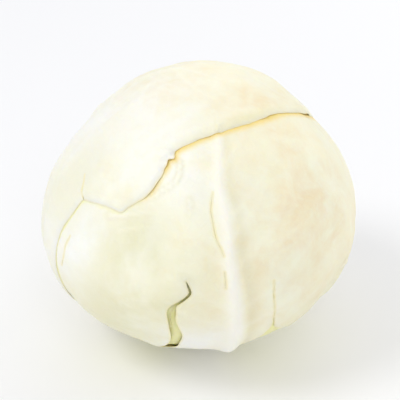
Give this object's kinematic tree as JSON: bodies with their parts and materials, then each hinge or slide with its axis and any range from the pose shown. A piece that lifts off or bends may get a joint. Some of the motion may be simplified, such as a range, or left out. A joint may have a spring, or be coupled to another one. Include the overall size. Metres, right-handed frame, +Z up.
{
  "type": "cabbage head",
  "caption": "Trimmed white cabbage head: overlapping leaves wrapped round a tight inner ball, standing on the flat cut face of its stalk.",
  "frame": {"origin": "centre of the stalk's cut face, which lies on the surface that the head stands on", "axes": "+Z up the stalk to the top of the head; -Y is the front, where the front leaf's midrib rises; +X is the head's right seen from the front"},
  "size_m": [0.1773, 0.1815, 0.165],
  "materials": {
    "outer_leaf": "waxy creamy white leaf, semi-matt",
    "inner_leaf": "waxy pale yellow-green leaf, semi-matt",
    "stalk": "dry cut stalk, matt"
  },
  "bodies": {
    "root": {"cap_leaf": "outer_leaf", "front_leaf": "outer_leaf", "back_right_leaf": "outer_leaf", "left_leaf": "inner_leaf", "right_leaf": "inner_leaf", "back_leaf": "inner_leaf", "front_left_leaf": "inner_leaf", "inner_head": "inner_leaf", "cut_stalk": "stalk"}
  },
  "joints": []
}
